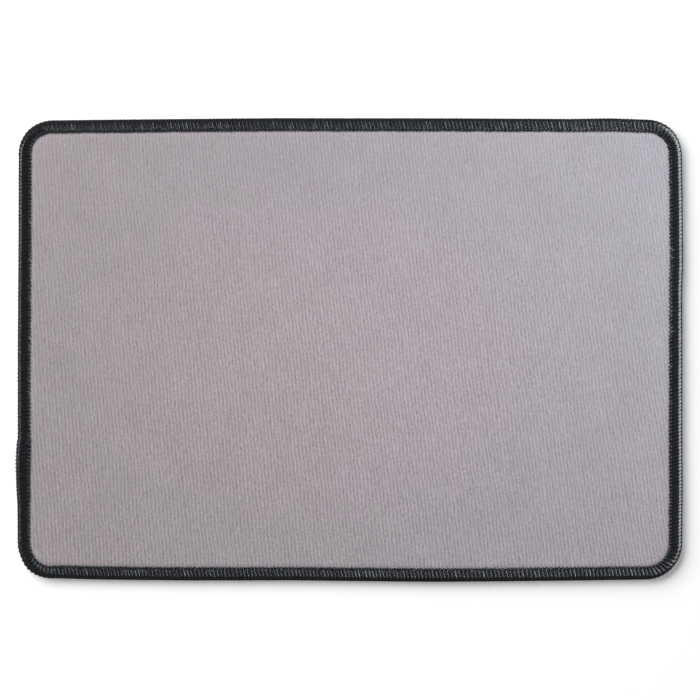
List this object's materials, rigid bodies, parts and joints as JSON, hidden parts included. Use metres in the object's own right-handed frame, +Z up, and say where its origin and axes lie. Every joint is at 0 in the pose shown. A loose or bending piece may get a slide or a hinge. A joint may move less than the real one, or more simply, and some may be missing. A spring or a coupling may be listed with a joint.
{
  "type": "mouse pad",
  "caption": "Rectangular cloth-topped mouse pad on a foam rubber base, with rounded corners and an overlocked thread edge.",
  "frame": {"origin": "middle of the rubber base's flat underside, on the desk", "axes": "+X along the long side, to the right in the picture; +Y along the short side, up in the picture; +Z up out of the cloth"},
  "size_m": [0.2608, 0.18, 0.0035],
  "materials": {
    "rubber": "matte",
    "adhesive_film": "satin",
    "cloth": "matte",
    "edge_thread": "satin"
  },
  "bodies": {
    "root": {"rubber_base": "rubber", "bond_film": "adhesive_film", "top_cloth": "cloth", "needle_thread": "edge_thread", "upper_looper_thread": "edge_thread", "lower_looper_thread": "edge_thread"}
  },
  "joints": []
}
